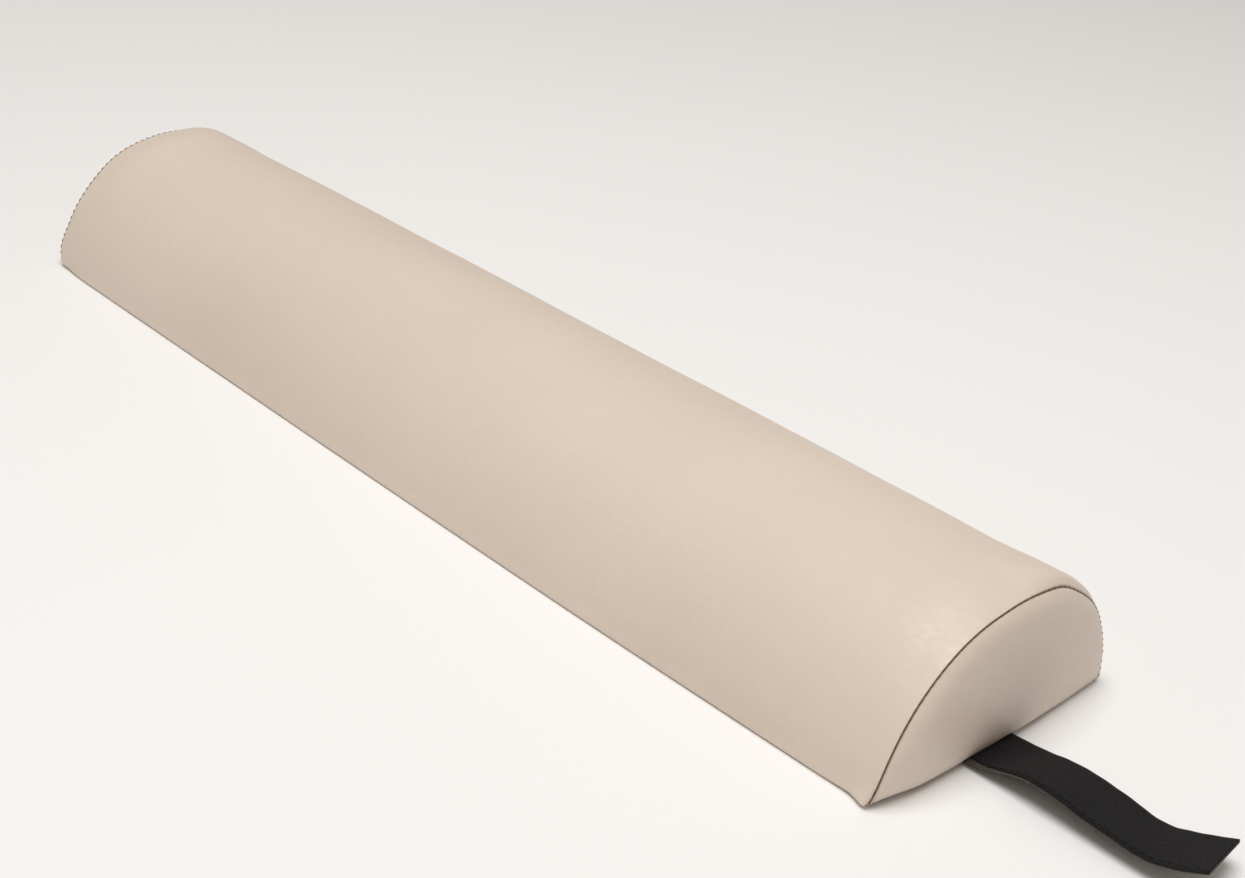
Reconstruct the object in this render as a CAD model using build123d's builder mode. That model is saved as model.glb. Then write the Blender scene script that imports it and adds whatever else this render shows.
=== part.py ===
from build123d import *
import math
import os

os.makedirs("parts", exist_ok=True)

# Half-round bolster in a sewn cover, in millimetres. The origin is the centre of the flat base,
# +Z is up, +X runs along the bolster towards the end with the strap, and -Y is its front.

# cover
LENGTH = 635.0  # from end seam to end seam
RADIUS = 76.2  # outside of the half-round cover, which is 152.4 wide and 76.2 high
VINYL = 1.2  # thickness of the sheet that the cover is cut from
END_ROUNDING = 7.0  # the sheet rolls over into the end seams
SEAM_HALF_WIDTH = 73.1  # the end seams are a little smaller than the section of the cover
SEAM_HEIGHT = 67.4
CROWN = 5.0  # how far an end panel bulges beyond its seam
CROWN_FACE = 0.6  # size of the flat top of that bulge, as a share of the panel
CROWN_MIDDLE = 28.0  # height of the middle of the bulge
FIT = 0.1  # between pieces that are sewn to each other

# foam core
FOAM_GAP = 0.6  # between the foam and the sheet around it
ZIP_RELIEF_RADIUS = 70.8  # the foam gives way to the slider behind the zip
ZIP_RELIEF_ANGLE = 24.0

# stitches
THREAD_RADIUS = 0.35
STITCH_LENGTH = 2.5
STITCH_PITCH = 3.8

# strap, made of a soft loop tape on a hook tape
STRAP_WIDTH = 33.0
STRAP_CENTRE_Y = -5.0
TAPE = 1.2  # thickness of each tape
STRAP_TAIL = 14.0  # length caught inside the cover
STRAP_FOLD = 8.0  # from the end seam to the line about which the strap swings
FOLD_GAP = 0.5  # between the sewn end and the part that swings
FOLD_NOSE = 1.5  # both are cut to a blunt point there, so that the strap can swing either way
TACK_INSET = 5.0  # from the fold back to the row that holds the strap in the seam
EDGE_INSET = 2.0  # rows of stitches, from the edges of the strap
# middle of the strap past the fold, as (distance from the end seam, height): over a soft hump,
# down to the surface that the bolster lies on, and up at the tip
STRAP_PROFILE = [(18, 4.6), (29, 6.6), (42, 6.0), (57, 3.6), (71, 1.3), (80, 2.6), (92, 7.4), (104, 13.2)]

# zip, which closes the long edges of the wrapped sheet along the back, just above the base
ZIP_HEIGHT = 14.0  # of the middle of the coil above the base
ZIP_LENGTH = 570.0
ZIP_OPENING = 12.0  # between the two hems
HEM_WIDTH = 9.0
ZIP_TAPE = 0.6
ZIP_TAPE_WIDTH = 11.0
COIL_WIDTH = 2.3  # each half
COIL_GAP = 1.0  # between the halves, for the post of the slider
COIL_HEIGHT = 1.4
STOP_LENGTH = 3.0
STOP_HEIGHT = 1.8

# slider and pull tab
SLIDER_LENGTH = 13.0
SLIDER_WIDTH = 9.0
PLATE = 0.9
SLIDER_CLEAR = 0.35  # above the coil and the tapes
UNDER_CLEAR = 0.5  # behind the tapes
FLANGE = 0.9
POST = (3.0, 0.4)  # along and across the zip
BRIDGE_SPAN = 4.2  # clear length under the bridge
BRIDGE_RISE = 1.8  # clear height under it
BRIDGE_BAR = 0.8
BRIDGE_WIDTH = 2.0
TAB_LENGTH = 24.0
TAB_WIDTH = 6.4
TAB_THICK = 0.9
TAB_WINDOW = (3.6, 3.6)  # the bridge passes through it
TAB_GRIP = (10.0, 2.6)  # raised grip at the free end of the tab
SLIDER_END_GAP = 3.0  # between the closed slider and the stop

# worked out from the above
HALF = LENGTH / 2
INNER_RADIUS = RADIUS - VINYL
TAPE_FACE = RADIUS - 2 * VINYL  # outer face of the zip tapes, under two layers of sheet
ZIP_ANGLE = math.degrees(math.asin(ZIP_HEIGHT / RADIUS))  # of the coil, about the X axis
COIL_END = ZIP_LENGTH / 2 - 2 * STOP_LENGTH
FOLD_X = HALF + STRAP_FOLD
FOLD_Z = VINYL + FIT + TAPE  # the fold is where the two tapes meet
STRAP_FRONT_Y = STRAP_CENTRE_Y - STRAP_WIDTH / 2
STRAP_BACK_Y = STRAP_CENTRE_Y + STRAP_WIDTH / 2
SLIDER_X = COIL_END - SLIDER_END_GAP - SLIDER_LENGTH / 2  # closed


def half_round(half_width, height, base, centre=0.0):
    """In the active sketch, the part of an ellipse about (0, centre) that lies above base."""
    with Locations((0, centre)):
        Ellipse(half_width, height)
    with Locations((0, base)):
        Rectangle(3 * half_width, 3 * height, align=(Align.CENTER, Align.MAX), mode=Mode.SUBTRACT)


def ring_sector(outer, inner, low, high):
    """In the active sketch, a strip of a ring about the origin between two angles."""
    with BuildLine() as outline:
        outside = CenterArc((0, 0), outer, low, high - low)
        inside = CenterArc((0, 0), inner, low, high - low)
        Line(outside @ 0, inside @ 0)
        Line(outside @ 1, inside @ 1)
    make_face(outline.edges())


def degrees_at(distance, radius):
    """Angle about the X axis of a distance along an arc."""
    return math.degrees(distance / radius)


def stitches_along(edge, count):
    """One plane per stitch, spread evenly along an edge, with its Z axis along the thread."""
    steps = [(i + 0.5) / count for i in range(count)]
    return [Plane(origin=edge @ t, z_dir=edge % t) for t in steps]


def stitch_count(length):
    return max(1, round(length / STITCH_PITCH))


def finish(built, name):
    built.part.label = name
    export_step(built.part, f"parts/{name}.step")


# ---------------------------------------------------------------- cover

# the space inside the wrapped sheet
with BuildPart() as cover_inside:
    with BuildSketch(Plane.YZ.offset(-HALF + VINYL)):
        half_round(INNER_RADIUS, INNER_RADIUS, VINYL)
    extrude(amount=LENGTH - 2 * VINYL)
    ends = cover_inside.edges().filter_by(GeomType.LINE, reverse=True)
    fillet(ends, radius=END_ROUNDING - VINYL)

hem_angle = degrees_at(ZIP_OPENING / 2, RADIUS)
hem_reach = degrees_at(HEM_WIDTH, RADIUS)
base_angle = math.degrees(math.asin(VINYL / TAPE_FACE))

# one sheet: over the arch, round the front lower edge and under the foam, with folded hems at the zip
with BuildPart() as cover_wrap:
    with BuildSketch(Plane.YZ.offset(-HALF)):
        half_round(RADIUS, RADIUS, 0)
    extrude(amount=LENGTH)
    ends = cover_wrap.edges().filter_by(GeomType.LINE, reverse=True)
    fillet(ends, radius=END_ROUNDING)
    add(cover_inside.part, mode=Mode.SUBTRACT)
    with BuildSketch(Plane.YZ.offset(-HALF)):
        half_round(SEAM_HALF_WIDTH, SEAM_HEIGHT, VINYL)
    extrude(amount=LENGTH, mode=Mode.SUBTRACT)
    with BuildSketch(Plane.YZ.offset(-ZIP_LENGTH / 2)):
        upper_hem = ZIP_ANGLE + hem_angle
        ring_sector(INNER_RADIUS + FIT, TAPE_FACE, upper_hem, upper_hem + hem_reach)
        ring_sector(INNER_RADIUS + FIT, TAPE_FACE, base_angle, ZIP_ANGLE - hem_angle)
    extrude(amount=ZIP_LENGTH)
    with BuildSketch(Plane.YZ.offset(-ZIP_LENGTH / 2)):
        ring_sector(RADIUS + VINYL, TAPE_FACE - VINYL, ZIP_ANGLE - hem_angle, ZIP_ANGLE + hem_angle)
    extrude(amount=ZIP_LENGTH, mode=Mode.SUBTRACT)
finish(cover_wrap, "cover_wrap")


def crown_sketches(inset, lift, height):
    """Two sketches for a loft: an end panel's outline less inset, and the flat top of its bulge."""
    panel_base = VINYL + FIT + inset
    half_width, top = SEAM_HALF_WIDTH - FIT - inset, SEAM_HEIGHT - FIT - inset
    with BuildSketch(Plane.YZ.offset(HALF + lift)) as rim:
        half_round(half_width, top, panel_base)
    with BuildSketch(Plane.YZ.offset(HALF + height)) as face:
        centre = CROWN_MIDDLE * (1 - CROWN_FACE)
        base = centre + CROWN_FACE * panel_base
        half_round(CROWN_FACE * half_width, CROWN_FACE * top, base, centre)
    return rim.sketch, face.sketch


strap_slot = Box(
    3 * CROWN + VINYL,
    STRAP_WIDTH + 4 * FIT,
    2 * TAPE + 4 * FIT,
    align=(Align.CENTER, Align.CENTER, Align.MIN),
)

# crowned panel at the strap end, with room under it where the strap comes out
with BuildPart() as end_panel_strap_side:
    with BuildSketch(Plane.YZ.offset(HALF - VINYL)):
        half_round(SEAM_HALF_WIDTH - FIT, SEAM_HEIGHT - FIT, VINYL + FIT)
    extrude(amount=VINYL)
    loft(crown_sketches(0, 0, CROWN))
    loft(crown_sketches(VINYL, -VINYL, CROWN - VINYL), mode=Mode.SUBTRACT)
    with Locations((HALF, STRAP_CENTRE_Y, VINYL)):
        add(strap_slot, mode=Mode.SUBTRACT)
finish(end_panel_strap_side, "end_panel_strap_side")

# the same panel, with no strap under it, at the other end
with BuildPart() as end_panel_plain:
    with BuildSketch(Plane.YZ.offset(HALF - VINYL)):
        half_round(SEAM_HALF_WIDTH - FIT, SEAM_HEIGHT - FIT, VINYL + FIT)
    extrude(amount=VINYL)
    loft(crown_sketches(0, 0, CROWN))
    loft(crown_sketches(VINYL, -VINYL, CROWN - VINYL), mode=Mode.SUBTRACT)
    mirror(about=Plane.YZ, mode=Mode.REPLACE)
finish(end_panel_plain, "end_panel_plain")


# ---------------------------------------------------------------- end seams

# the arched seam line, just outside the end panel, and the straight one under it
with BuildLine(Plane.YZ.offset(HALF + THREAD_RADIUS)) as seam_arch:
    EllipticalCenterArc(
        (0, VINYL + FIT),
        SEAM_HALF_WIDTH + THREAD_RADIUS,
        SEAM_HEIGHT - VINYL + THREAD_RADIUS,
        start_angle=0,
        arc_size=180,
    )
with BuildLine(Plane.YZ.offset(HALF + THREAD_RADIUS)) as seam_base_front:
    Line((-SEAM_HALF_WIDTH, VINYL / 2), (STRAP_FRONT_Y - STITCH_PITCH / 2, VINYL / 2))
with BuildLine(Plane.YZ.offset(HALF + THREAD_RADIUS)) as seam_base_back:
    Line((STRAP_BACK_Y + STITCH_PITCH / 2, VINYL / 2), (SEAM_HALF_WIDTH, VINYL / 2))
with BuildLine(Plane.YZ.offset(HALF + THREAD_RADIUS)) as seam_base_whole:
    Line((-SEAM_HALF_WIDTH, VINYL / 2), (SEAM_HALF_WIDTH, VINYL / 2))

strap_side_planes = []
for seam in (seam_arch, seam_base_front, seam_base_back):
    strap_side_planes += stitches_along(seam.edge(), stitch_count(seam.edge().length))
plain_side_planes = []
for seam in (seam_arch, seam_base_whole):
    plain_side_planes += stitches_along(seam.edge(), stitch_count(seam.edge().length))

with BuildPart() as end_seam_thread_strap_side:
    with Locations(*strap_side_planes):
        Cylinder(THREAD_RADIUS, STITCH_LENGTH)
finish(end_seam_thread_strap_side, "end_seam_thread_strap_side")

with BuildPart() as end_seam_thread_plain:
    with Locations(*plain_side_planes):
        Cylinder(THREAD_RADIUS, STITCH_LENGTH)
    mirror(about=Plane.YZ, mode=Mode.REPLACE)
finish(end_seam_thread_plain, "end_seam_thread_plain")


# ---------------------------------------------------------------- foam core

with BuildPart() as foam_core:
    with BuildSketch(Plane.YZ.offset(-HALF + VINYL + FOAM_GAP)):
        half_round(INNER_RADIUS - FOAM_GAP, INNER_RADIUS - FOAM_GAP, VINYL + FIT)
    extrude(amount=LENGTH - 2 * (VINYL + FOAM_GAP))
    ends = foam_core.edges().filter_by(GeomType.LINE, reverse=True)
    fillet(ends, radius=END_ROUNDING - VINYL)
    loft(crown_sketches(2 * VINYL, -VINYL - FOAM_GAP, CROWN - VINYL - FOAM_GAP))
    with BuildSketch(Plane.YZ.offset(-HALF)):
        ring_sector(RADIUS, ZIP_RELIEF_RADIUS, 0, ZIP_RELIEF_ANGLE)
    extrude(amount=LENGTH, mode=Mode.SUBTRACT)
    split(bisect_by=Plane.YZ)
    mirror(about=Plane.YZ)
    # the sewn end of the strap presses into the foam
    with Locations((HALF + CROWN, STRAP_CENTRE_Y, VINYL)):
        Box(
            2 * (STRAP_TAIL + CROWN),
            STRAP_WIDTH + 4 * FIT,
            2 * TAPE + 4 * FIT,
            align=(Align.CENTER, Align.CENTER, Align.MIN),
            mode=Mode.SUBTRACT,
        )
finish(foam_core, "foam_core")


# ---------------------------------------------------------------- strap

# Plane.XZ faces -Y, so the strap is extruded from its back edge to its front edge
with BuildPart() as strap_sewn_end:
    with BuildSketch(Plane.XZ.offset(-STRAP_BACK_Y)):
        nose_x = FOLD_X - FOLD_GAP / 2
        with BuildLine():
            Polyline(
                (HALF - STRAP_TAIL, FOLD_Z - TAPE),
                (nose_x - FOLD_NOSE, FOLD_Z - TAPE),
                (nose_x, FOLD_Z),
                (nose_x - FOLD_NOSE, FOLD_Z + TAPE),
                (HALF - STRAP_TAIL, FOLD_Z + TAPE),
                close=True,
            )
        make_face()
    extrude(amount=STRAP_WIDTH)
finish(strap_sewn_end, "strap_sewn_end")


def strap_points(height):
    """Points along the swinging part of the strap, raised by height, from its blunt point."""
    nose = FOLD_NOSE * min(1, abs(height) / TAPE)
    start = (FOLD_X + FOLD_GAP / 2 + nose, FOLD_Z + height)
    return [start] + [(HALF + reach, z + height) for reach, z in STRAP_PROFILE]


def tape_section(low, high):
    """In the active sketch, the section of one tape between two heights about the strap's middle."""
    with BuildLine() as outline:
        under = Spline(strap_points(low))
        over = Spline(strap_points(high))
        Line(under @ 0, over @ 0)
        Line(under @ 1, over @ 1)
    make_face(outline.edges())


with BuildPart() as strap_loop_tape:
    with BuildSketch(Plane.XZ.offset(-STRAP_BACK_Y)):
        tape_section(0, TAPE)
    extrude(amount=STRAP_WIDTH)
finish(strap_loop_tape, "strap_loop_tape")

with BuildPart() as strap_hook_tape:
    with BuildSketch(Plane.XZ.offset(-STRAP_BACK_Y)):
        tape_section(-TAPE, 0)
    extrude(amount=STRAP_WIDTH)
finish(strap_hook_tape, "strap_hook_tape")

# rows along both long edges and across the tip, lying on the loop tape
thread_height = TAPE + 2 * THREAD_RADIUS
edge_row_planes = []
for row_y in (STRAP_FRONT_Y + EDGE_INSET, STRAP_BACK_Y - EDGE_INSET):
    with BuildLine(Plane.XZ.offset(-row_y)) as edge_row:
        Spline(strap_points(thread_height))
    row_planes = stitches_along(edge_row.edge(), stitch_count(edge_row.edge().length))
    edge_row_planes += row_planes[1:]  # the rows start a little past the fold
tip_x = HALF + STRAP_PROFILE[-1][0] - 2 * EDGE_INSET
tip_z = (edge_row.edge() @ 0.96).Z
with BuildLine() as tip_row:
    Line(
        (tip_x, STRAP_FRONT_Y + 2 * EDGE_INSET, tip_z + THREAD_RADIUS),
        (tip_x, STRAP_BACK_Y - 2 * EDGE_INSET, tip_z + THREAD_RADIUS),
    )
edge_row_planes += stitches_along(tip_row.edge(), stitch_count(tip_row.edge().length))

with BuildPart() as strap_edge_thread:
    with Locations(*edge_row_planes):
        Cylinder(THREAD_RADIUS, STITCH_LENGTH)
finish(strap_edge_thread, "strap_edge_thread")

# the row that holds the strap in the seam, on the sewn end just outside the end panel
tack_z = VINYL + FIT + 2 * TAPE + THREAD_RADIUS
with BuildLine() as tack_row:
    Line(
        (FOLD_X - TACK_INSET, STRAP_FRONT_Y + EDGE_INSET, tack_z),
        (FOLD_X - TACK_INSET, STRAP_BACK_Y - EDGE_INSET, tack_z),
    )
with BuildPart() as strap_tack_thread:
    with Locations(*stitches_along(tack_row.edge(), stitch_count(tack_row.edge().length))):
        Cylinder(THREAD_RADIUS, STITCH_LENGTH)
finish(strap_tack_thread, "strap_tack_thread")


# ---------------------------------------------------------------- zip

half_gap = degrees_at(COIL_GAP / 2, TAPE_FACE)
tape_reach = degrees_at(ZIP_TAPE_WIDTH, TAPE_FACE)
coil_reach = degrees_at(COIL_WIDTH, TAPE_FACE)


def zip_side(side, start, reach):
    """Lower and upper angle of a strip of the zip, on one side (+1 upper, -1 lower) of its middle."""
    first = ZIP_ANGLE + side * start
    second = ZIP_ANGLE + side * (start + reach)
    return min(first, second), max(first, second)


for side, place in ((1, "upper"), (-1, "lower")):
    with BuildPart() as zip_tape:
        with BuildSketch(Plane.YZ.offset(-ZIP_LENGTH / 2)):
            ring_sector(TAPE_FACE, TAPE_FACE - ZIP_TAPE, *zip_side(side, half_gap, tape_reach))
        extrude(amount=ZIP_LENGTH)
    finish(zip_tape, f"zip_tape_{place}")

    with BuildPart() as zip_coil:
        with BuildSketch(Plane.YZ.offset(-COIL_END)):
            coil_top = TAPE_FACE + COIL_HEIGHT
            ring_sector(coil_top, TAPE_FACE, *zip_side(side, half_gap, coil_reach))
        extrude(amount=2 * COIL_END)
    finish(zip_coil, f"zip_coil_{place}")

    # topstitching through the hem and the tape, lying on the sheet
    row_angle = math.radians(ZIP_ANGLE + side * (hem_angle + degrees_at(EDGE_INSET, RADIUS)))
    row_radius = RADIUS + THREAD_RADIUS
    row_y, row_z = row_radius * math.cos(row_angle), row_radius * math.sin(row_angle)
    with BuildLine() as hem_row:
        Line((-ZIP_LENGTH / 2, row_y, row_z), (ZIP_LENGTH / 2, row_y, row_z))
    with BuildPart() as zip_seam_thread:
        with Locations(*stitches_along(hem_row.edge(), stitch_count(ZIP_LENGTH))):
            Cylinder(THREAD_RADIUS, STITCH_LENGTH)
    finish(zip_seam_thread, f"zip_seam_thread_{place}")

# closed end: one clip on the end of each half of the coil
with BuildPart() as zip_end_stop_closed:
    with BuildSketch(Plane.YZ.offset(COIL_END)):
        for side in (1, -1):
            stop_top = TAPE_FACE + STOP_HEIGHT
            ring_sector(stop_top, TAPE_FACE, *zip_side(side, half_gap, coil_reach))
    extrude(amount=STOP_LENGTH)
finish(zip_end_stop_closed, "zip_end_stop_closed")

# open end: one clip across both halves
with BuildPart() as zip_end_stop_open:
    with BuildSketch(Plane.YZ.offset(-COIL_END - STOP_LENGTH)):
        clip_reach = half_gap + coil_reach
        ring_sector(stop_top, TAPE_FACE, ZIP_ANGLE - clip_reach, ZIP_ANGLE + clip_reach)
    extrude(amount=STOP_LENGTH)
finish(zip_end_stop_open, "zip_end_stop_open")

# the slider's plane touches the outer face of the tapes, X along the zip and Z out of the cover
outward = Vector(0, math.cos(math.radians(ZIP_ANGLE)), math.sin(math.radians(ZIP_ANGLE)))
zip_plane = Plane(origin=outward * TAPE_FACE + Vector(SLIDER_X, 0, 0), x_dir=(1, 0, 0), z_dir=outward)
top_plate_z = COIL_HEIGHT + SLIDER_CLEAR
bottom_plate_z = -ZIP_TAPE - UNDER_CLEAR
bridge_z = top_plate_z + PLATE

with BuildPart() as zip_slider:
    for plate_z in (top_plate_z, bottom_plate_z - PLATE):
        with BuildSketch(zip_plane.offset(plate_z)):
            RectangleRounded(SLIDER_LENGTH, SLIDER_WIDTH, SLIDER_WIDTH / 4)
        extrude(amount=PLATE)
    with BuildSketch(zip_plane.offset(SLIDER_CLEAR)):
        with Locations((0, SLIDER_WIDTH / 2 - FLANGE / 2), (0, FLANGE / 2 - SLIDER_WIDTH / 2)):
            Rectangle(SLIDER_LENGTH * 0.6, FLANGE)
    extrude(amount=COIL_HEIGHT)
    with BuildSketch(zip_plane.offset(bottom_plate_z)):
        with Locations((SLIDER_LENGTH / 2 - POST[0], 0)):
            Rectangle(*POST)
    extrude(amount=top_plate_z - bottom_plate_z)
    # bridge over the top plate, as the section between its outer and inner outlines
    with BuildSketch(Plane(zip_plane.origin, x_dir=(1, 0, 0), z_dir=-zip_plane.y_dir)):
        with Locations((0, bridge_z)):
            outer_size = (BRIDGE_SPAN + 2 * BRIDGE_BAR, BRIDGE_RISE + BRIDGE_BAR)
            Rectangle(*outer_size, align=(Align.CENTER, Align.MIN))
            Rectangle(BRIDGE_SPAN, BRIDGE_RISE, align=(Align.CENTER, Align.MIN), mode=Mode.SUBTRACT)
    extrude(amount=BRIDGE_WIDTH / 2, both=True)
finish(zip_slider, "zip_slider")

# the tab's crossbar lies under the bridge, and the tab lies back over the closed coil
pivot_z = bridge_z + BRIDGE_RISE / 2
crossbar = TAB_THICK
with BuildPart() as zip_pull_tab:
    with BuildSketch(zip_plane.offset(pivot_z - TAB_THICK / 2)):
        with Locations((crossbar / 2 - TAB_LENGTH / 2, 0)):
            RectangleRounded(TAB_LENGTH, TAB_WIDTH, TAB_WIDTH / 4)
        with Locations((-crossbar / 2 - TAB_WINDOW[0] / 2, 0)):
            Rectangle(*TAB_WINDOW, mode=Mode.SUBTRACT)
    extrude(amount=TAB_THICK)
    with BuildSketch(zip_plane.offset(pivot_z)):
        with Locations((crossbar / 2 - TAB_LENGTH + 0.7 * TAB_GRIP[0], 0)):
            RectangleRounded(*TAB_GRIP, TAB_GRIP[1] / 3)
    extrude(amount=TAB_THICK)
finish(zip_pull_tab, "zip_pull_tab")

pivot = zip_plane.origin + outward * pivot_z
print("strap fold", FOLD_X, FOLD_Z)
print("pull tab pivot", pivot, "across the zip", zip_plane.y_dir)
print("slider travel", SLIDER_X + COIL_END - SLIDER_LENGTH / 2)
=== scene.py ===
import math

import bpy
import numpy as np
from mathutils import Matrix, Vector


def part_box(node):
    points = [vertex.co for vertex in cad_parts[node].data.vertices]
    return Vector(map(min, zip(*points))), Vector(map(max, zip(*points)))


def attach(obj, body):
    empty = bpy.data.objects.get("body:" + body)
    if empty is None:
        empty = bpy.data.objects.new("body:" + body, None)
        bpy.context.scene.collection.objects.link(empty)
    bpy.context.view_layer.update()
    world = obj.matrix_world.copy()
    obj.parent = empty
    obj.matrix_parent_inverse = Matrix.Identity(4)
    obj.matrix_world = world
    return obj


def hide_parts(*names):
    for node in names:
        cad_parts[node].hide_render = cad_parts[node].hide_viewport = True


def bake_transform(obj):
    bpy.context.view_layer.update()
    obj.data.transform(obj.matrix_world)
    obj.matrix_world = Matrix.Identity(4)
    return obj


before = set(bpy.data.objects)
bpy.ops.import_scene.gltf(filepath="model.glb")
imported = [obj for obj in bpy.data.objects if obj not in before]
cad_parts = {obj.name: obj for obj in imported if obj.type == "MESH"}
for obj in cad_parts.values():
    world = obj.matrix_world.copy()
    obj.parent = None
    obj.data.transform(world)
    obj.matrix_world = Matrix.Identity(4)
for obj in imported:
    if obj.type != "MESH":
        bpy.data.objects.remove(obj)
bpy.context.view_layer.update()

# Half-round bolster. Shapes are worked out in millimetres in the CAD's frame and become meshes in
# metres. +X runs to the end with the strap, -Y is the front, +Z is up from the flat base.
MM = 0.001
STRAP_SIDE, PLAIN_SIDE = 1, -1

# ------------------------------------------------------------------ sizes, in mm

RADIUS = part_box("cover_wrap")[1].z / MM  # half the width of the cover
BODY_HEIGHT, BODY_POWER = 74.0, 1.85  # the arch is a little flatter than a half circle
HALF = 317.5  # from the middle to each end seam
SHEET = 0.9  # thickness of the vinyl
EDGE = 2.6  # rounding of the two lower edges

SEAM_HALF_WIDTH, SEAM_HEIGHT = 73.1, 67.4
SEAM_FLOOR = 1.7  # the end seams run this far above the base
SEAM_EDGE = 1.6
ROLL = 28.0  # length over which the sheet curves in to an end seam
FLARE, FLARE_REACH = 2.0, 40.0  # the cover widens a little towards its ends
EAR = 4.4  # how far the front lower corner sticks out beside a seam
CROWN, CROWN_MIDDLE = 5.6, 28.0  # how far an end panel stands out, and the height of its middle
SHOULDER, FOOT = 5.8, 8.0  # how soon an end panel rounds over from its arch and from the base
PLAIN_FLARE, PLAIN_EAR, PLAIN_CROWN = 0.4, 0.3, 0.7  # shares of these at the plain end

STITCH, STITCH_PITCH = 2.4, 3.8
SEAM_THREAD_RADIUS, HEM_THREAD_RADIUS, STRAP_THREAD_RADIUS = 0.34, 0.3, 0.24

ZIP_ANGLE = math.asin(14.0 / RADIUS)
ZIP_HALF = 285.0
ZIP_OPENING = 6.0 / RADIUS  # from the coil's middle to a hem, as an angle
ZIP_TAPE_WIDTH, ZIP_TAPE_THICKNESS = 11.0, 0.45
ZIP_TAPE_TUCK = 3.5  # how far the ends of a tape go on past the opening
TAPE_FACE = 73.7  # from the axis of the arch to the outer face of the zip tapes
COIL_HALF, COIL_PITCH, FILAMENT_RADIUS = 279.0, 1.5, 0.27

STRAP_FRONT, STRAP_BACK = -21.8, 11.7
STRAP_REACH, STRAP_TAIL = 104.0, 12.0  # what shows of the strap, and what is sewn into the seam
TAPE = 0.65
SELVAGE, SELVAGE_STEP = 1.6, 0.14  # width of a tape's woven edge, and how much thinner it is


def smooth(t):
    """0 below t = 0, 1 above t = 1, with a soft start and end between."""
    t = np.clip(t, 0.0, 1.0)
    return t * t * (3 - 2 * t)


def through(keys, values, at):
    """Smooth curve through (key, value) points, read at `at`."""
    keys, values = np.asarray(keys, float), np.asarray(values, float)
    slope = np.gradient(values, keys)
    at = np.clip(at, keys[0], keys[-1])
    i = np.clip(np.searchsorted(keys, at) - 1, 0, len(keys) - 2)
    h = keys[i + 1] - keys[i]
    t = (at - keys[i]) / h
    return (
        values[i] * (1 + 2 * t) * (1 - t) ** 2
        + slope[i] * h * t * (1 - t) ** 2
        + values[i + 1] * t * t * (3 - 2 * t)
        - slope[i + 1] * h * t * t * (1 - t)
    )


# ------------------------------------------------------------------ meshes


def new_mesh(name, points, faces):
    mesh = bpy.data.meshes.new(name)
    mesh.from_pydata((np.asarray(points, float) * MM).tolist(), [], faces)
    mesh.validate()
    mesh.polygons.foreach_set("use_smooth", [True] * len(mesh.polygons))
    obj = bpy.data.objects.new(name, mesh)
    bpy.context.scene.collection.objects.link(obj)
    return obj


def grid_faces(rows, columns, loop=False, start=0):
    """Quads of a grid of points, rows one after another. loop joins the last column to the first."""
    faces = []
    for i in range(rows - 1):
        for j in range(columns if loop else columns - 1):
            k = (j + 1) % columns
            a, b = start + i * columns, start + (i + 1) * columns
            faces.append((b + j, b + k, a + k, a + j))
    return faces


def solidify(obj, thickness):
    mod = obj.modifiers.new("sheet", "SOLIDIFY")
    mod.thickness = thickness * MM
    mod.offset = -1


def mark(obj, name, values):
    """Stores one number per vertex for the material to read."""
    layer = obj.data.attributes.new(name, "FLOAT", "POINT")
    layer.data.foreach_set("value", np.asarray(values, float).ravel())


def grid_normals(grid, loop=False):
    """Outward unit normals of a grid of points whose columns turn anticlockwise about its rows."""
    if loop:
        along = np.roll(grid, -1, 1) - np.roll(grid, 1, 1)
    else:
        along = np.gradient(grid, axis=1)
    n = np.cross(np.gradient(grid, axis=0), along)
    return n / np.maximum(np.linalg.norm(n, axis=2, keepdims=True), 1e-9)


# ------------------------------------------------------------------ section of the cover

HEM_COLUMNS, EDGE_COLUMNS, BASE_COLUMNS, ARCH_COLUMNS = 6, 6, 60, 230


def arch_points(half_width, height, power, phi):
    """Points of a superellipse at the angles phi, from +Y over the top."""
    c, q = np.abs(np.cos(phi)) / half_width, np.abs(np.sin(phi)) / height
    r = (c**power + q**power) ** (-1 / power)
    return np.stack([r * np.cos(phi), r * np.sin(phi)], -1)


def section(half_width, height, power, floor, edge, low, high):
    """The wrapped sheet's section: from its lower hem at the back down to the base, under to the
    front and over the arch to its upper hem. low and high are the angles of the hems."""
    size = half_width, height, power
    turn = math.asin((floor + edge) / half_width)
    end = arch_points(*size, turn)
    corner_y, corner_z = end[0] - edge, end[1]
    back = arch_points(*size, np.linspace(low, turn, HEM_COLUMNS, endpoint=False))
    a = np.linspace(0, -math.pi / 2, EDGE_COLUMNS, endpoint=False)
    back_edge = np.stack([corner_y + edge * np.cos(a), corner_z + edge * np.sin(a)], 1)
    y = np.linspace(corner_y, -corner_y, BASE_COLUMNS, endpoint=False)
    base = np.stack([y, np.full_like(y, corner_z - edge)], 1)
    a = np.linspace(-math.pi / 2, -math.pi, EDGE_COLUMNS, endpoint=False)
    front_edge = np.stack([-corner_y + edge * np.cos(a), corner_z + edge * np.sin(a)], 1)
    arch = arch_points(*size, np.linspace(math.pi - turn, high, ARCH_COLUMNS))
    return np.concatenate([back, back_edge, base, front_edge, arch])


def outward(points):
    """Outward unit normals of a section."""
    t = np.gradient(points, axis=0)
    n = np.stack([-t[:, 1], t[:, 0]], 1)
    return n / np.linalg.norm(n, axis=1, keepdims=True)


def near_strap(y):
    """1 where the strap comes out of the seam, 0 away from it."""
    return smooth((y - STRAP_FRONT + 5) / 5) * smooth((STRAP_BACK + 5 - y) / 5)


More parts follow.
